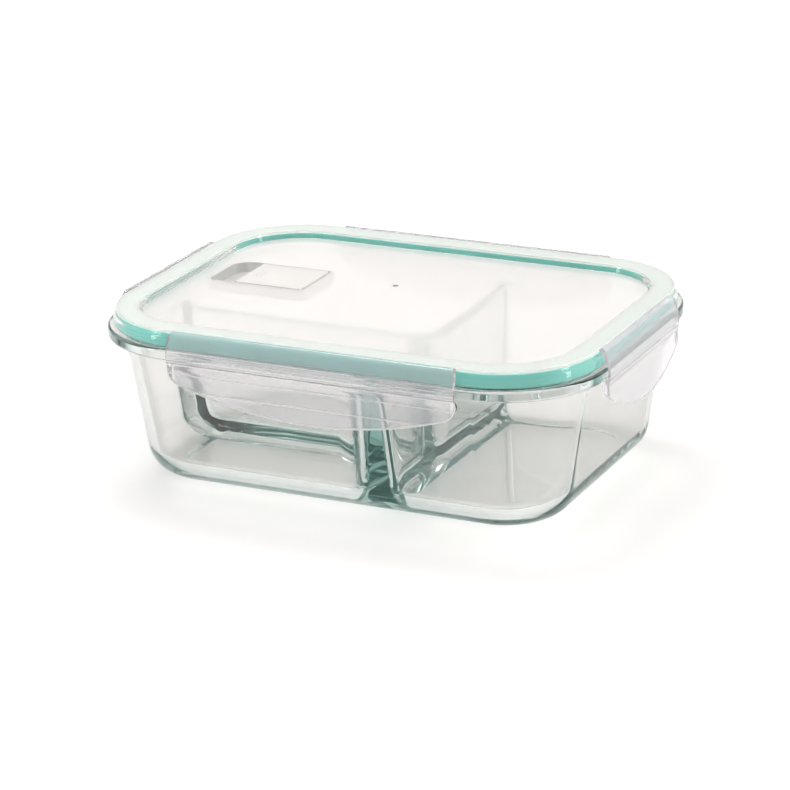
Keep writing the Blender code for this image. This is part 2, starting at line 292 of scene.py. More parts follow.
def sweep(name, section, closed, finish):
    """A piece swept round the outline. An open section's two open rims get flat caps.

    The section lies flat for the sweep, with out along X and z along -Y.
    """
    mesh = bpy.data.meshes.new(name)
    edges = [(i, i + 1) for i in range(len(section) - 1)]
    if closed:
        edges.append((len(section) - 1, 0))
    mesh.from_pydata([(out, -z, 0) for out, z in section], edges, [])
    obj = bpy.data.objects.new(name, mesh)
    bpy.context.scene.collection.objects.link(obj)
    nodes = obj.modifiers.new("sweep", "NODES")
    nodes.node_group = SWEEP
    set_inputs(nodes, {"Half Length": OUTLINE_X, "Half Width": OUTLINE_Y, "Finish": finish,
                       "Corner Radius": OUTLINE_CORNER, "Corner Steps": CORNER_STEPS})
    plain_mesh(obj)
    bm = bmesh.new()
    bm.from_mesh(obj.data)
    bmesh.ops.holes_fill(bm, edges=[edge for edge in bm.edges if edge.is_boundary], sides=0)
    bmesh.ops.recalc_face_normals(bm, faces=bm.faces)
    for face in bm.faces:
        face.smooth = True
    bm.to_mesh(obj.data)
    bm.free()
    return obj


def rounded_ring(x_range, y_range, radii, z, steps=CORNER_STEPS):
    """A level rounded rectangle, counter-clockwise from the +X +Y corner."""
    (x0, x1), (y0, y1) = x_range, y_range
    corners = ((x1, y1, -1, -1, 0), (x0, y1, 1, -1, 90), (x0, y0, 1, 1, 180), (x1, y0, -1, 1, 270))
    ring = []
    for (x, y, to_x, to_y, start), radius in zip(corners, radii):
        centre_x = x + to_x * radius
        centre_y = y + to_y * radius
        for step in range(steps + 1):
            angle = math.radians(start + 90 * step / steps)
            ring.append(Vector((centre_x + radius * math.cos(angle),
                                centre_y + radius * math.sin(angle), z)))
    return ring


def loft(name, rings, finish):
    """Skin rings that have equal numbers of points, with a flat cap at each end."""
    mesh = bpy.data.meshes.new(name)
    bm = bmesh.new()
    rows = [[bm.verts.new(point) for point in ring] for ring in rings]
    count = len(rows[0])
    bm.faces.new(rows[0])
    bm.faces.new(rows[-1])
    for lower, upper in zip(rows, rows[1:]):
        for i in range(count):
            j = (i + 1) % count
            bm.faces.new((lower[i], lower[j], upper[j], upper[i]))
    bmesh.ops.recalc_face_normals(bm, faces=bm.faces)
    for face in bm.faces:
        face.smooth = True
    bm.to_mesh(mesh)
    bm.free()
    obj = bpy.data.objects.new(name, mesh)
    bpy.context.scene.collection.objects.link(obj)
    mesh.materials.append(finish)
    return obj


def even_normals(obj, sharp_angle):
    """Smooth shading that keeps flat faces flat and edges past the angle sharp."""
    obj.data.shade_smooth()
    obj.data.set_sharp_from_angle(angle=math.radians(sharp_angle))
    weighted = obj.modifiers.new("weighted", "WEIGHTED_NORMAL")
    weighted.keep_sharp = True
    plain_mesh(obj)


def combine(obj, tools, sharp_angle):
    """Join or cut with closed tools, then even the normals."""
    for tool, operation in tools:
        step = obj.modifiers.new(tool.name, "BOOLEAN")
        step.operation = operation
        step.object = tool
        step.solver = "EXACT"
    plain_mesh(obj)
    for tool, operation in tools:
        bpy.data.objects.remove(tool, do_unlink=True)
    even_normals(obj, sharp_angle)


def pass_lamps(material, tint):
    """Let lamp light through a clear material, so that what is behind it is lit."""
    nodes, links = material.node_tree.nodes, material.node_tree.links
    output = nodes["Material Output"]
    path = nodes.new("ShaderNodeLightPath")
    through = nodes.new("ShaderNodeBsdfTransparent")
    through.inputs["Color"].default_value = (*tint, 1)
    choice = nodes.new("ShaderNodeMixShader")
    links.new(path.outputs["Is Shadow Ray"], choice.inputs[0])
    links.new(nodes["Principled BSDF"].outputs[0], choice.inputs[1])
    links.new(through.outputs[0], choice.inputs[2])
    links.new(choice.outputs[0], output.inputs["Surface"])


def build_ripple():
    """Shader group: the gentle unevenness that a mould leaves, as a height."""
    group = bpy.data.node_groups.new("mould_ripple", "ShaderNodeTree")
    for label, flow in (("Scale", "INPUT"), ("Grain", "INPUT"), ("Height", "OUTPUT")):
        group.interface.new_socket(name=label, in_out=flow, socket_type="NodeSocketFloat")
    nodes, links = group.nodes, group.links
    given = nodes.new("NodeGroupInput")
    result = nodes.new("NodeGroupOutput")
    place = nodes.new("ShaderNodeTexCoord")
    broad = nodes.new("ShaderNodeTexNoise")
    broad.inputs["Detail"].default_value = 1.0
    fine = nodes.new("ShaderNodeTexNoise")
    fine.inputs["Scale"].default_value = 1400
    fine.inputs["Detail"].default_value = 2.0
    blend = nodes.new("ShaderNodeMix")
    links.new(place.outputs["Object"], broad.inputs["Vector"])
    links.new(place.outputs["Object"], fine.inputs["Vector"])
    links.new(given.outputs["Scale"], broad.inputs["Scale"])
    links.new(given.outputs["Grain"], blend.inputs["Factor"])
    links.new(broad.outputs["Fac"], blend.inputs["A"])
    links.new(fine.outputs["Fac"], blend.inputs["B"])
    links.new(blend.outputs["Result"], result.inputs[0])
    return group


RIPPLE = build_ripple()


def add_ripple(material, scale, grain, strength, distance):
    """Feed the mould ripple through a Bump node into the material's normal."""
    nodes, links = material.node_tree.nodes, material.node_tree.links
    ripple = nodes.new("ShaderNodeGroup")
    ripple.node_tree = RIPPLE
    ripple.inputs["Scale"].default_value = scale
    ripple.inputs["Grain"].default_value = grain
    bump = nodes.new("ShaderNodeBump")
    bump.inputs["Strength"].default_value = strength
    bump.inputs["Distance"].default_value = distance
    links.new(ripple.outputs["Height"], bump.inputs["Height"])
    links.new(bump.outputs["Normal"], nodes["Principled BSDF"].inputs["Normal"])
    return ripple


def pressed_glass():
    """Clear soda glass: colourless when thin, green-teal through its depth, with painted shade
    that greys it where it is seen edge-on.
    """
    material, shader = new_finish("pressed_glass")
    nodes, links = material.node_tree.nodes, material.node_tree.links
    shader.inputs["Roughness"].default_value = 0.0
    shader.inputs["IOR"].default_value = 1.5
    shader.inputs["Transmission Weight"].default_value = 1.0
    depth = nodes.new("ShaderNodeVolumeAbsorption")
    depth.inputs["Color"].default_value = GLASS_DEEP
    depth.inputs["Density"].default_value = GLASS_DENSITY
    links.new(depth.outputs[0], nodes["Material Output"].inputs["Volume"])
    add_ripple(material, 26, 0.0, 0.25, 0.0006)
    # Painted shade: the base colour greys towards the parts of the glass seen edge-on.
    grazing = nodes.new("ShaderNodeLayerWeight")
    grazing.inputs["Blend"].default_value = 0.5
    tint = nodes.new("ShaderNodeValToRGB")
    tint.color_ramp.elements[0].position = 0.35
    tint.color_ramp.elements[0].color = GLASS_FACING
    tint.color_ramp.elements[1].position = 0.95
    tint.color_ramp.elements[1].color = GLASS_EDGE_ON_PAINTED_SHADE
    links.new(grazing.outputs["Facing"], tint.inputs[0])
    links.new(tint.outputs[0], shader.inputs["Base Color"])
    pass_lamps(material, GLASS_SHADOW)
    return material


GLASS = pressed_glass()


def glass_outside():
    """Section of the glass from its underside up over the flange."""
    lean = math.degrees(math.atan(WALL_DRAFT))
    centre = outer_wall(BASE_ROUND) - BASE_ROUND / math.cos(math.radians(lean))
    base = arc((centre, BASE_ROUND), BASE_ROUND, -90, -lean, 16)
    foot = [(centre - 0.0050, FOOT_HOLLOW), (centre - 0.0036, FOOT_HOLLOW * 0.9),
            (centre - 0.0024, FOOT_HOLLOW * 0.2)]
    walls = [(outer_wall(z), z) for z in (0.02, 0.03, 0.04, 0.05)]
    neck_centre = (outer_wall(RIM_UNDER) + NECK_ROUND, RIM_UNDER - NECK_ROUND)
    neck = arc(neck_centre, NECK_ROUND, 180, 90, 6)
    flange = arc((RIM_OUT - RIM_ROUND, RIM_UNDER + RIM_ROUND), RIM_ROUND, -90, 0, 6)
    flange += arc((RIM_OUT - RIM_ROUND, RIM_TOP - RIM_ROUND), RIM_ROUND, 0, 90, 6)
    return foot + base + walls + neck + flange


def space_above_dividers():
    """Plunger for the open space between the dividers' tops and the rim."""
    edge = (inner_wall(RIM_TOP) - RIM_ROUND * 0.2 + RIM_ROUND, RIM_TOP - RIM_ROUND)
    section = [(inner_wall(DIVIDER_TOP), DIVIDER_TOP)]
    section += arc(edge, RIM_ROUND, 180, 90, 6)
    section.append((section[-1][0], RIM_TOP + RIM_ROUND))
    return sweep("space_above_dividers", section, False, GLASS)


def plunger_levels():
    """Rows of (z, inset, open_out) up a plunger.

    The inset rounds its foot, and the opening out rounds the tops of the dividers.
    """
    quarter = [math.radians(90 * step / ROUND_STEPS) for step in range(ROUND_STEPS + 1)]
    levels = [(FLOOR + CAVITY_ROUND * (1 - math.cos(angle)),
               CAVITY_ROUND * (1 - math.sin(angle)), 0.0) for angle in quarter]
    levels += [(z, 0.0, 0.0) for z in (0.024, 0.036, 0.046)]
    levels += [(DIVIDER_TOP - DIVIDER_ROUND * (1 - math.sin(angle)), 0.0,
                DIVIDER_ROUND * (1 - math.cos(angle))) for angle in quarter]
    return levels


def compartment(name, left, right, front, back):
    """Plunger for one compartment. A side is None at an outer wall, else a divider's line."""
    rings = []
    for z, inset, open_out in plunger_levels():
        outside = inner_wall(z) - LEDGE - inset
        face = DIVIDER_HALF + DIVIDER_DRAFT * (DIVIDER_TOP - z) + inset - open_out
        x0 = -OUTLINE_X - outside if left is None else left + face
        x1 = OUTLINE_X + outside if right is None else right - face
        y0 = -OUTLINE_Y - outside if front is None else front + face
        y1 = OUTLINE_Y + outside if back is None else back - face
        corner_out = OUTLINE_CORNER + outside
        corner_in = CAVITY_CORNER - inset
        sides = ((right, back), (left, back), (left, front), (right, front))
        radii = [corner_out if a is None and b is None else corner_in for a, b in sides]
        rings.append(rounded_ring((x0, x1), (y0, y1), radii, z))
    middle = sum(rings[-1], Vector()) / len(rings[-1])
    shrunk = [middle + (point - middle) * PLUNGER_TAPER for point in rings[-1]]
    rings.append([point + Vector((0, 0, DIVIDER_ROUND)) for point in shrunk])
    return loft(name, rings, GLASS)


glass_body = sweep("glass_body", glass_outside(), False, GLASS)
plungers = [space_above_dividers(),
            compartment("plunger_right", MAIN_DIVIDER_X, None, None, None),
            compartment("plunger_front", None, MAIN_DIVIDER_X, None, CROSS_DIVIDER_Y),
            compartment("plunger_back", None, MAIN_DIVIDER_X, CROSS_DIVIDER_Y, None)]
combine(glass_body, [(plunger, "DIFFERENCE") for plunger in plungers], 30)
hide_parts("glass_container")
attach(glass_body, "container")


# ---- Lid seal -------------------------------------------------------------------------
# A moulded teal silicone ring that sits in the lid's channel. Two soft lips under it meet
# the glass rim, with a groove between them. It shows through the lid's clear skirt.

seal_low, seal_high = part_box("lid_seal")
SEAL_ROOF = seal_high.z
SEAL_BOTTOM = seal_low.z
SEAL_OUT = seal_high.x - OUTLINE_X
SEAL_IN = -0.0084
SEAL_SHOULDER = 0.0701
SEAL_SOFT = 0.0005
GROOVE_OUTER = -0.0031
GROOVE_MIDDLE = -0.0042
GROOVE_INNER = -0.0053
GROOVE_DEPTH = 0.0023


def teal_silicone():
    """Satin silicone that glows a little where light enters it."""
    material, shader = new_finish("teal_silicone")
    nodes, links = material.node_tree.nodes, material.node_tree.links
    shader.inputs["Roughness"].default_value = 0.38
    shader.inputs["Subsurface Weight"].default_value = 0.25
    shader.inputs["Subsurface Radius"].default_value = (0.4, 1.0, 0.9)
    shader.inputs["Subsurface Scale"].default_value = 0.002
    ripple = add_ripple(material, 60, 0.35, 0.15, 0.0002)
    shades = nodes.new("ShaderNodeValToRGB")
    shades.color_ramp.elements[0].position = 0.3
    shades.color_ramp.elements[0].color = (0.10, 0.62, 0.53, 1)
    shades.color_ramp.elements[1].position = 0.7
    shades.color_ramp.elements[1].color = (0.15, 0.72, 0.63, 1)
    links.new(ripple.outputs["Height"], shades.inputs[0])
    links.new(shades.outputs[0], shader.inputs["Base Color"])
    return material


def seal_section():
    """Closed section: outer wall, two rounded lips and the groove between them."""
    soft = SEAL_SOFT
    low = SEAL_BOTTOM + soft
    high = SEAL_ROOF - soft
    section = arc((SEAL_OUT - 0.0012, high), soft, 80, 50, 3)
    section.append((SEAL_OUT, SEAL_SHOULDER))
    section += arc((SEAL_OUT - soft, low), soft, 0, -90, 4)
    section += arc((GROOVE_OUTER, low), soft, -90, -170, 3)
    section += arc((GROOVE_MIDDLE, SEAL_BOTTOM + GROOVE_DEPTH - soft), soft, 60, 120, 3)
    section += arc((GROOVE_INNER, low), soft, -10, -90, 3)
    section += arc((SEAL_IN + soft, low), soft, -90, -180, 4)
    section += arc((SEAL_IN + soft, high), soft, 180, 90, 4)
    return section


seal = sweep("seal_ring", seal_section(), True, teal_silicone())
even_normals(seal, 50)
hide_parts("lid_seal")
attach(seal, "lid")


# ---- Lid shell ------------------------------------------------------------------------
# One clear plastic moulding: a frosted rim band, a sunk panel, a polished skirt over the
# seal, a wall that dips inside the glass, and the vent's pocket with its steam hole. The
# gate mark is where the plastic entered the mould.

LID_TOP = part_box("lid_shell")[1].z
LID_WALL = 0.0013
LID_ROOF = 0.0017
LID_SOFT = 0.0008
PANEL_TOP = 0.0706
PANEL_THICK = 0.0018
RECESS_OUT = -0.0099
RECESS_DRAFT = 0.0008
BAND_LINE = -0.0074
BAND_INNER = -0.0087
BAND_LOW = 0.0722
SKIRT_BULGE = 0.00135
SKIRT_BOTTOM = 0.0669
CHANNEL_SHOULDER = 0.0701
DIP_BOTTOM = 0.0645
DIP_SOFT = 0.0005

POCKET_X = (-0.0892, -0.0440)
POCKET_Y = (-0.0020, 0.0265)
POCKET_FLOOR = 0.0658
POCKET_WALL = 0.0016
POCKET_ROUND = 0.0085
POCKET_TIP = 0.002
POCKET_SQUARE = 0.0015
POCKET_SOFT = 0.0005
VENT_X = -0.0640
VENT_Y = (POCKET_Y[0] + POCKET_Y[1]) / 2
VENT_HOLE = 0.0044
GATE = (-0.009, 0.018)
GATE_RING = 0.0015
GATE_PIP = 0.0006
PLASTIC_SHADOW = (0.90, 0.90, 0.90)


def clear_plastic(name, colour, roughness, transmission, grain):
    """Translucent moulded plastic; what doesn't pass straight through scatters as white."""
    material, shader = new_finish(name)
    shader.inputs["Base Color"].default_value = (*colour, 1)
    shader.inputs["Roughness"].default_value = roughness
    shader.inputs["IOR"].default_value = 1.49
    shader.inputs["Transmission Weight"].default_value = transmission
    add_ripple(material, 40, grain, 0.2, 0.0003)
    pass_lamps(material, PLASTIC_SHADOW)
    return material


PANEL_PLASTIC = clear_plastic("panel_plastic", (0.99, 0.982, 0.975), 0.06, 0.60, 0.1)
BAND_PLASTIC = clear_plastic("band_plastic", (0.93, 0.95, 0.93), 0.42, 0.45, 0.6)
SKIRT_PLASTIC = clear_plastic("skirt_plastic", (1.0, 1.0, 1.0), 0.04, 0.96, 0.0)
# Painted shade: the vent pocket's walls and floor are painted grey as the shade of the sunk
# pocket.
POCKET_PAINTED_SHADE = clear_plastic("pocket_painted_shade", (0.70, 0.70, 0.69), 0.25, 0.35, 0.3)
GATE_PLASTIC = clear_plastic("gate_plastic", (0.42, 0.42, 0.41), 0.35, 0.2, 0.6)
LID_PLASTICS = (PANEL_PLASTIC, BAND_PLASTIC, SKIRT_PLASTIC, POCKET_PAINTED_SHADE, GATE_PLASTIC)


def lid_section():
    """Section from the panel's top, over the rim band and skirt, to the panel's underside."""
    soft = LID_SOFT
    recess = arc((RECESS_OUT - RECESS_DRAFT - soft, PANEL_TOP + soft), soft, -90, -8, 5)
    band = arc((RECESS_OUT + soft, LID_TOP - soft), soft, 180, 90, 6)
    band += [(BAND_LINE - 0.0004, LID_TOP), (BAND_LINE, LID_TOP - 0.0001),
             (BAND_LINE + 0.0004, LID_TOP)]
    band += arc((-soft, LID_TOP - soft), soft, 90, 0, 6)
    skirt = [(0.0, 0.0729), (0.0001, 0.0724), (0.0004, 0.0719), (0.0009, 0.0713),
             (0.00125, 0.0708), (SKIRT_BULGE, 0.0703), (SKIRT_BULGE, 0.0674),
             (SKIRT_BULGE - 0.00015, 0.0671), (SKIRT_BULGE - 0.0004, SKIRT_BOTTOM)]
    inside = SKIRT_BULGE - LID_WALL
    channel = [(inside + 0.0002, SKIRT_BOTTOM), (inside, SKIRT_BOTTOM + 0.0002),
               (inside, CHANNEL_SHOULDER), (-LID_WALL, LID_TOP - LID_ROOF)]
    dip_face = RECESS_OUT + LID_WALL - 0.0001
    dip_back = dip_face - LID_WALL
    dip = [(dip_face, LID_TOP - LID_ROOF), (dip_face, DIP_BOTTOM + DIP_SOFT)]
    dip += arc((dip_face - DIP_SOFT, DIP_BOTTOM + DIP_SOFT), DIP_SOFT, 0, -90, 4)
    dip += [(dip_back + 0.0003, DIP_BOTTOM), (dip_back, DIP_BOTTOM + 0.0003)]
    root = 0.0006
    under = arc((dip_back - root, PANEL_TOP - PANEL_THICK - root), root, 0, 90, 4)
    return recess + band + skirt + channel + dip + under


def pocket_ring(grow, z):
    """Plan of the vent pocket, widened by grow."""
    x_range = (POCKET_X[0] - grow, POCKET_X[1] + grow)
    y_range = (POCKET_Y[0] - grow, POCKET_Y[1] + grow)
    hinge_end = POCKET_SQUARE + grow
    wide = POCKET_ROUND + grow
    tip = POCKET_TIP + grow
    return rounded_ring(x_range, y_range, (hinge_end, wide, tip, hinge_end), z, 12)


def in_pocket(centre):
    """Whether a face belongs to the inside of the vent pocket."""
    inside_x = POCKET_X[0] - 0.0002 < centre.x < POCKET_X[1] + 0.0002
    inside_y = POCKET_Y[0] - 0.0002 < centre.y < POCKET_Y[1] + 0.0002
    return inside_x and inside_y and POCKET_FLOOR - 0.0001 < centre.z < PANEL_TOP - 0.0001


def round_tool(name, centre, sections, finish):
    """An upright turned tool through (radius, z) pairs."""
    segments = 40
    rings = []
    for radius, z in sections:
        rings.append([Vector((centre[0] + radius * math.cos(2 * math.pi * i / segments),
                              centre[1] + radius * math.sin(2 * math.pi * i / segments), z))
                      for i in range(segments)])
    return loft(name, rings, finish)


def hollow_rings():
    """The pocket's inside, with a soft edge at the panel and at its floor."""
    soft = POCKET_SOFT
    levels = [(-soft, POCKET_FLOOR), (-soft * 0.3, POCKET_FLOOR + soft * 0.3),
              (0, POCKET_FLOOR + soft), (0, PANEL_TOP - soft * 0.6),
              (soft * 0.2, PANEL_TOP - soft * 0.2), (soft * 0.6, PANEL_TOP),
              (soft * 0.6, PANEL_TOP + PANEL_THICK)]
    return [pocket_ring(grow, z) for grow, z in levels]


def lid_plastic(centre):
    """Which of the lid's finishes a face gets, from the place of its middle; the pocket's inside
    gets painted shade.
    """
    over_x = max(abs(centre.x) - (OUTLINE_X - OUTLINE_CORNER), 0)
    over_y = max(abs(centre.y) - (OUTLINE_Y - OUTLINE_CORNER), 0)
    out = math.hypot(over_x, over_y) - OUTLINE_CORNER
    if centre.z > LID_TOP - 0.0002 or (centre.z > BAND_LOW and BAND_INNER < out < -LID_WALL):
        return BAND_PLASTIC
    if out > RECESS_OUT - RECESS_DRAFT - 0.0004:
        return SKIRT_PLASTIC
    if math.hypot(centre.x - GATE[0], centre.y - GATE[1]) < GATE_RING + 0.0001:
        return GATE_PLASTIC
    return POCKET_PAINTED_SHADE if in_pocket(centre) else PANEL_PLASTIC


lid = sweep("lid_moulding", lid_section(), False, PANEL_PLASTIC)
tray_under = POCKET_FLOOR - POCKET_WALL
tray_rings = [pocket_ring(POCKET_WALL - 0.0004, tray_under),
              pocket_ring(POCKET_WALL, tray_under + 0.0004),
              pocket_ring(POCKET_WALL, PANEL_TOP - PANEL_THICK / 2)]
tray = loft("tray", tray_rings, PANEL_PLASTIC)
hollow = loft("hollow", hollow_rings(), PANEL_PLASTIC)
hole_depth = [(VENT_HOLE, tray_under - 0.002), (VENT_HOLE, POCKET_FLOOR + 0.001)]
hole = round_tool("hole", (VENT_X, VENT_Y), hole_depth, PANEL_PLASTIC)
ring_depth = [(GATE_RING - 0.0004, PANEL_TOP - 0.0005), (GATE_RING, PANEL_TOP + 0.0003)]
gate_ring = round_tool("gate_ring", GATE, ring_depth, PANEL_PLASTIC)
pip_height = [(GATE_PIP, PANEL_TOP - 0.0008), (GATE_PIP - 0.0001, PANEL_TOP - 0.0001)]
gate_pip = round_tool("gate_pip", GATE, pip_height, PANEL_PLASTIC)
combine(lid, [(tray, "UNION"), (hollow, "DIFFERENCE"), (hole, "DIFFERENCE"),
              (gate_ring, "DIFFERENCE"), (gate_pip, "UNION")], 40)
lid.data.materials.clear()
for plastic in LID_PLASTICS:
    lid.data.materials.append(plastic)
for polygon in lid.data.polygons:
    polygon.material_index = LID_PLASTICS.index(lid_plastic(polygon.center))
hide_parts("lid_shell")
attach(lid, "lid")


# ---- Vent plug ------------------------------------------------------------------------
# A small white silicone plug pushed into the flap's underside. Its head seals on the
# pocket's floor and its stem stands in the steam hole.

PLUG_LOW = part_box("vent_plug")[0].z
PLUG_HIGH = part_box("vent_plug")[1].z
PLUG_HEAD = 0.0060
PLUG_HEAD_LOW = POCKET_FLOOR + 0.0003
PLUG_HEAD_HIGH = PLUG_HEAD_LOW + 0.0016
PLUG_HEAD_SOFT = 0.0004
PLUG_STEM = 0.0034
PLUG_NECK = 0.0026
PLUG_WHITE = (0.86, 0.87, 0.87, 1)


def white_silicone():
    """Soft matt silicone with a faint grain."""
    material, shader = new_finish("white_silicone")
    shader.inputs["Base Color"].default_value = PLUG_WHITE
    shader.inputs["Roughness"].default_value = 0.5
    shader.inputs["Subsurface Weight"].default_value = 0.3
    shader.inputs["Subsurface Scale"].default_value = 0.002
    add_ripple(material, 200, 0.5, 0.2, 0.0002)
    return material


def plug_profile():
    """(radius, z) from the stem's foot over the head to the neck in the flap."""
    soft = PLUG_HEAD_SOFT
    stem = [(PLUG_STEM - 0.0008, PLUG_LOW), (PLUG_STEM - 0.0003, PLUG_LOW + 0.0002),
            (PLUG_STEM, PLUG_LOW + 0.0008), (PLUG_STEM, PLUG_HEAD_LOW - 0.0001),
            (PLUG_STEM + 0.0003, PLUG_HEAD_LOW)]
    head = [(PLUG_HEAD - 0.0002, PLUG_HEAD_LOW)]
    head += arc((PLUG_HEAD - soft, PLUG_HEAD_LOW + soft), soft, -60, 0, 3)
    head += arc((PLUG_HEAD - soft, PLUG_HEAD_HIGH - soft), soft, 0, 90, 4)
    neck = [(PLUG_NECK + 0.0004, PLUG_HEAD_HIGH + 0.0001), (PLUG_NECK, PLUG_HEAD_HIGH + 0.0004),
            (PLUG_NECK, PLUG_HIGH)]
    return stem + head + neck


plug = round_tool("steam_plug", (VENT_X, VENT_Y), plug_profile(), white_silicone())
even_normals(plug, 50)
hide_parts("vent_plug")
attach(plug, "vent")


# ---- Vent flap ------------------------------------------------------------------------
# A flat clear flap that snaps shut over the vent. Its right end is rolled round the hinge
# line, its left end is thinned to a lip for the finger, and three raised ribs give grip.

FLAP_LOW, FLAP_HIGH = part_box("vent_flap")
FLAP_HINGE = (-0.0458, 0.0697)
FLAP_KNUCKLE = 0.0009
FLAP_UNDER = PANEL_TOP - 0.0016
FLAP_SOFT = 0.0003
FLAP_LIP_SOFT = 0.0004
RIB_COUNT = 3
RIB_PITCH = 0.0016
RIB_LENGTH = 0.007
RIB_RADIUS = 0.0005
RIB_START = (FLAP_LOW.x + 0.004, VENT_Y, PANEL_TOP - RIB_RADIUS / 2)


def flap_section():
    """(x, z) section of the flap from the knuckle to the finger lip."""
    tip = FLAP_LOW.x + FLAP_SOFT
    section = arc(FLAP_HINGE, FLAP_KNUCKLE, 90, -60, 10)
    section.append((FLAP_HINGE[0] - 0.0012, FLAP_UNDER))
    section += arc((FLAP_LOW.x + 0.0022, FLAP_UNDER + FLAP_LIP_SOFT), FLAP_LIP_SOFT, -90, -150, 3)
    section += arc((tip, PANEL_TOP - 0.0009), FLAP_SOFT, -120, -180, 3)
    section += arc((tip, PANEL_TOP - FLAP_SOFT), FLAP_SOFT, 180, 90, 4)
    return section


def build_ribs():
    """Nodes that lay a row of small rounded ribs on a flat face."""
    tree = new_piece_nodes("row_of_ribs", {
        "Count": "Int", "Pitch": "Float", "Rib Length": "Float", "Rib Radius": "Float",
        "Start": "Vector", "Finish": "Material"})
    nodes, links = tree.nodes, tree.links
    given = nodes.new("NodeGroupInput")
    result = nodes.new("NodeGroupOutput")
    row = nodes.new("GeometryNodeMeshLine")
    row.mode = "OFFSET"
    step = nodes.new("ShaderNodeCombineXYZ")
    half = nodes.new("ShaderNodeMath")
    half.operation = "MULTIPLY"
    half.inputs[1].default_value = 0.5
    minus = nodes.new("ShaderNodeMath")
    minus.operation = "MULTIPLY"
    minus.inputs[1].default_value = -0.5
    near = nodes.new("ShaderNodeCombineXYZ")
    far = nodes.new("ShaderNodeCombineXYZ")
    line = nodes.new("GeometryNodeCurvePrimitiveLine")
    rod = nodes.new("GeometryNodeCurvePrimitiveCircle")
    rod.inputs["Resolution"].default_value = 12
    rib = nodes.new("GeometryNodeCurveToMesh")
    rib.inputs["Fill Caps"].default_value = True
    copies = nodes.new("GeometryNodeInstanceOnPoints")
    real = nodes.new("GeometryNodeRealizeInstances")
    paint = nodes.new("GeometryNodeSetMaterial")
    links.new(given.outputs["Count"], row.inputs["Count"])
    links.new(given.outputs["Start"], row.inputs["Start Location"])
    links.new(given.outputs["Pitch"], step.inputs["X"])
    links.new(step.outputs[0], row.inputs["Offset"])
    links.new(given.outputs["Rib Length"], half.inputs[0])
    links.new(given.outputs["Rib Length"], minus.inputs[0])
    links.new(minus.outputs[0], near.inputs["Y"])
    links.new(half.outputs[0], far.inputs["Y"])
    links.new(near.outputs[0], line.inputs["Start"])
    links.new(far.outputs[0], line.inputs["End"])
    links.new(given.outputs["Rib Radius"], rod.inputs["Radius"])
    links.new(line.outputs[0], rib.inputs["Curve"])
    links.new(rod.outputs[0], rib.inputs["Profile Curve"])
    links.new(row.outputs[0], copies.inputs["Points"])
    links.new(rib.outputs[0], copies.inputs["Instance"])
    links.new(copies.outputs[0], real.inputs[0])
    links.new(real.outputs[0], paint.inputs["Geometry"])
    links.new(given.outputs["Finish"], paint.inputs["Material"])
    links.new(paint.outputs[0], result.inputs[0])
    return tree


def extrude_section(name, section, low, high, finish):
    """A body with one (x, z) section between two places across the box."""
    rings = [[Vector((x, y, z)) for x, z in section] for y in (low, high)]
    return loft(name, rings, finish)


FLAP_PLASTIC = clear_plastic("flap_plastic", (0.97, 0.96, 0.95), 0.12, 0.45, 0.1)
flap = extrude_section("steam_flap", flap_section(), FLAP_LOW.y, FLAP_HIGH.y, FLAP_PLASTIC)
ribs = bpy.data.objects.new("flap_ribs", bpy.data.meshes.new("flap_ribs"))
bpy.context.scene.collection.objects.link(ribs)
rib_nodes = ribs.modifiers.new("ribs", "NODES")
rib_nodes.node_group = build_ribs()
set_inputs(rib_nodes, {"Count": RIB_COUNT, "Pitch": RIB_PITCH, "Rib Length": RIB_LENGTH,
                       "Rib Radius": RIB_RADIUS, "Start": RIB_START, "Finish": FLAP_PLASTIC})
plain_mesh(ribs)
combine(flap, [(ribs, "UNION")], 40)
# The flap's sides get the pocket's grey, painted shade of the narrow gap round the flap, which
# draws its outline on the panel.
flap.data.materials.append(POCKET_PAINTED_SHADE)
for polygon in flap.data.polygons:
    if abs(polygon.normal.z) < 0.5 and polygon.center.z < PANEL_TOP - 0.0001:
        polygon.material_index = 1
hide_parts("vent_flap")
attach(flap, "vent")


# ---- Latches --------------------------------------------------------------------------
# Four flaps of milky plastic, moulded with the lid and joined to it by a web thin enough
# to bend. A bar on the inside snaps under the glass flange, and the flared lip below it,
# cut in a long arc, is what the fingers pull.

HINGE_OUT = 0.0009
HINGE_Z = 0.0734
KNUCKLE = 0.0006
LIP_NECK = 0.0045
LIP_BEND = 0.0565
RIDGE_Z = 0.0498
LINE_STEP = 0.0003
LIP_LOW = 0.0426
LIP_END = 0.0535
LIP_OUT = 0.0060
LATCH_WALL = 0.0013
CHEEK = 0.0014
CHEEK_LENGTH = 0.0016
LATCH_COLUMNS = 72
CROWDED_ENDS = 0.55
NARROW_FROM = 0.0715
NARROW_HEIGHT = 0.0025
NARROW_BY = 0.0016
LATCH_MERGE = 0.000005
WEB_LOW = 0.07330
WEB_HIGH = 0.07365
WEB_SHARE = 0.985
WEB_AT_LID = 0.00004
WEB_IN_KNUCKLE = 0.00012
WEB_COLUMNS = 24
WEB_STEPS = 6

LATCH_PLASTIC = clear_plastic("latch_plastic", (0.94, 0.925, 0.96), 0.12, 0.86, 0.1)
# Painted highlight: a whiter, less clear finish on narrow strips, which draws the white highlight
# lines along the latches' ledges and the lip's edge.
LATCH_PAINTED_HIGHLIGHT = clear_plastic("latch_painted_highlight", (1.0, 1.0, 1.0), 0.30, 0.35, 0.3)


def lip_face(z):
    """How far out the lip's outer face stands at a height below the bend."""
    return LIP_NECK + (LIP_OUT - LIP_NECK) * (LIP_BEND - z) / (LIP_BEND - LIP_LOW)


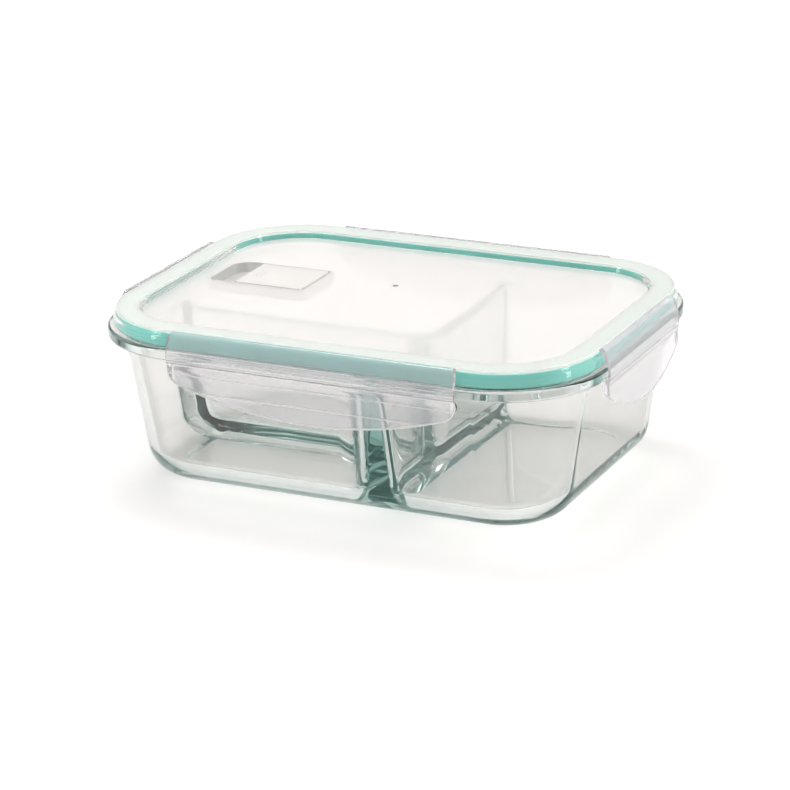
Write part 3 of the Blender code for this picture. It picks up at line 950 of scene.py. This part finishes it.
def latch_outer(low, raised):
    """Outer face, knuckle to lip, as (out, z, white).

    White marks the strip below a point for the painted highlight, a white line. Raised is 0 where
    the face has no raised lines and no painted highlights.
    """
    step = LINE_STEP * raised
    shoulder = [(0.0017, 0.0739, 0), (0.0024, 0.0736, 0), (0.0030, 0.0730, 0),
                (0.0034, 0.0720, 0), (0.0038, 0.0708, 0), (0.0042, 0.0696, 0),
                (0.0046, 0.0684, 0), (0.0049, 0.0672, 0), (0.0051, 0.0660, 0)]
    line = [(0.0052, 0.0649, raised), (0.0052 + step, 0.0646, 0),
            (0.0052 + step, 0.0634, raised), (0.0052, 0.0631, 0), (0.0052, 0.0620, 0)]
    neck = [(0.0050, 0.0611, raised), (0.0048, 0.0607, 0), (0.0046, 0.0595, 0),
            (LIP_NECK, 0.0583, 0), (LIP_NECK, 0.0571, raised), (LIP_NECK + step * 0.6, 0.0568, 0)]
    ridge = max(RIDGE_Z, low + 0.0012)
    on_lip = 1 if raised and low < RIDGE_Z - 0.0015 else 0
    lip = []
    for part in (0, 0.25, 0.5, 0.75):
        z = LIP_BEND + (ridge - LIP_BEND) * part
        lip.append((lip_face(z), z, 0))
    lip.append((lip_face(ridge + LINE_STEP), ridge + LINE_STEP, on_lip))
    lip.append((lip_face(ridge) + 0.0002 * on_lip, ridge, 0))
    lip.append((lip_face(ridge - LINE_STEP), ridge - LINE_STEP, 0))
    for part in (0.33, 0.66):
        z = ridge + (low + LATCH_WALL / 2 - ridge) * part
        lip.append((lip_face(z), z, 0))
    return shoulder + line + neck + lip


def latch_inner(low, cheek):
    """Inner face from the lip up over the locking bar to the knuckle; cheek thickens it."""
    lip = []
    lip_steps = 8
    for step in range(lip_steps + 1):
        z = low + LATCH_WALL / 2 + (LIP_BEND - low - LATCH_WALL / 2) * step / lip_steps
        lip.append((lip_face(z) - LATCH_WALL - cheek, z))
    bar = [(0.0032 - cheek, 0.0576), (0.0030 - cheek, 0.0586), (0.0027 - cheek * 0.8, 0.0594),
           (0.0026 - cheek * 0.8, 0.0602), (0.0027 - cheek * 0.8, 0.0609),
           (0.0030, 0.0613), (0.0036, 0.0614), (0.0041, 0.0617)]
    upper = [(0.0042, 0.0628), (0.0042, 0.0640), (0.0042, 0.0652), (0.0040, 0.0662),
             (0.0034, 0.0673), (0.0029, 0.0681), (0.0026, 0.0692), (0.0024, 0.0704),
             (0.0021, 0.0714), (0.0016, 0.0723)]
    return [(out, z, 0) for out, z in lip + bar + upper]


def latch_slice(half_length, across, corner, raised):
    """Closed section of a latch at a place across it, from -1 to 1, as (out, z, white)."""
    near_end = half_length * (1 - abs(across))
    lift = 0.0
    if near_end < corner:
        lift = corner - math.sqrt(corner ** 2 - (corner - near_end) ** 2)
    low = LIP_LOW + (LIP_END - LIP_LOW) * across ** 2 + lift
    cheek = CHEEK * max(0.0, 1 - near_end / CHEEK_LENGTH) ** 0.5
    edge = LATCH_WALL / 2
    knuckle = arc((HINGE_OUT, HINGE_Z), KNUCKLE, 270, 80, 10)
    lip_end = arc((lip_face(low) - edge, low + edge), edge, -20, -160, 6)
    section = [(*point, 0) for point in knuckle] + latch_outer(low, raised)
    # The lip's rounded bottom edge is marked white for a painted highlight.
    return section + [(*point, 1) for point in lip_end] + latch_inner(low, cheek)


def latch_piece(name, half_length, corner, raised):
    """A latch facing -Y with its hinge line along X. Its slices stand closer at the ends."""
    rings, whites = [], []
    for column in range(LATCH_COLUMNS + 1):
        even = 2 * column / LATCH_COLUMNS - 1
        crowded = -math.cos(math.pi * column / LATCH_COLUMNS)
        across = CROWDED_ENDS * crowded + (1 - CROWDED_ENDS) * even
        section = latch_slice(half_length, across, corner, raised)
        ring = []
        for out, z, white in section:
            narrow = NARROW_BY * max(0.0, (z - NARROW_FROM) / NARROW_HEIGHT) ** 2
            ring.append(Vector((across * (half_length - narrow), HINGE_OUT - out, z - HINGE_Z)))
        rings.append(ring)
        whites.append([white for out, z, white in section])
    latch = loft(name, rings, LATCH_PLASTIC)
    # Strips marked white on both sides get the painted highlight finish.
    latch.data.materials.append(LATCH_PAINTED_HIGHLIGHT)
    end_caps = 2
    for column in range(LATCH_COLUMNS):
        for i, white in enumerate(whites[column]):
            face = latch.data.polygons[end_caps + column * len(rings[0]) + i]
            face.material_index = white and whites[column + 1][i]
    bm = bmesh.new()
    bm.from_mesh(latch.data)
    bmesh.ops.remove_doubles(bm, verts=bm.verts, dist=LATCH_MERGE)
    bmesh.ops.recalc_face_normals(bm, faces=bm.faces)
    bm.to_mesh(latch.data)
    bm.free()
    return latch


def hinge_web(name, half_length, finish):
    """The thin strip that joins a latch to the lid's edge, facing -Y like the latch."""
    at_latch = HINGE_OUT - KNUCKLE + WEB_IN_KNUCKLE
    rings = []
    for column in range(WEB_COLUMNS + 1):
        along = half_length * WEB_SHARE * (2 * column / WEB_COLUMNS - 1)
        upper, lower = [], []
        for step in range(WEB_STEPS + 1):
            out = WEB_AT_LID + (at_latch - WEB_AT_LID) * step / WEB_STEPS
            upper.append(Vector((along, HINGE_OUT - out, WEB_HIGH - HINGE_Z)))
            lower.append(Vector((along, HINGE_OUT - out, WEB_LOW - HINGE_Z)))
        rings.append(upper + lower[::-1])
    return loft(name, rings, finish)


def hinge_centre(side):
    """The middle of a latch's hinge line."""
    return Vector((side[0] * (OUTLINE_X + HINGE_OUT), side[1] * (OUTLINE_Y + HINGE_OUT), HINGE_Z))


def put_on_side(piece, side, turn):
    """Turn a piece built facing -Y to its side of the lid; the move goes into its mesh."""
    spin = Matrix.Rotation(math.radians(turn), 4, "Z")
    piece.data.transform(Matrix.Translation(hinge_centre(side)) @ spin)


LONG_LATCH = {"half_length": 0.0649, "corner": 0.0045, "raised": 1}
SHORT_LATCH = {"half_length": 0.0384, "corner": 0.0016, "raised": 0}
LATCH_SIDES = {"front": ((0, -1), 0, LONG_LATCH), "back": ((0, 1), 180, LONG_LATCH),
               "left": ((-1, 0), -90, SHORT_LATCH), "right": ((1, 0), 90, SHORT_LATCH)}
for where, (side, turn, measures) in LATCH_SIDES.items():
    latch = latch_piece("latch_flap_" + where, **measures)
    put_on_side(latch, side, turn)
    even_normals(latch, 50)
    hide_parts("latch_" + where)
    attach(latch, where + "_latch")
    web = hinge_web("hinge_web_" + where, measures["half_length"], LATCH_PLASTIC)
    put_on_side(web, side, turn)
    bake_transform(web)
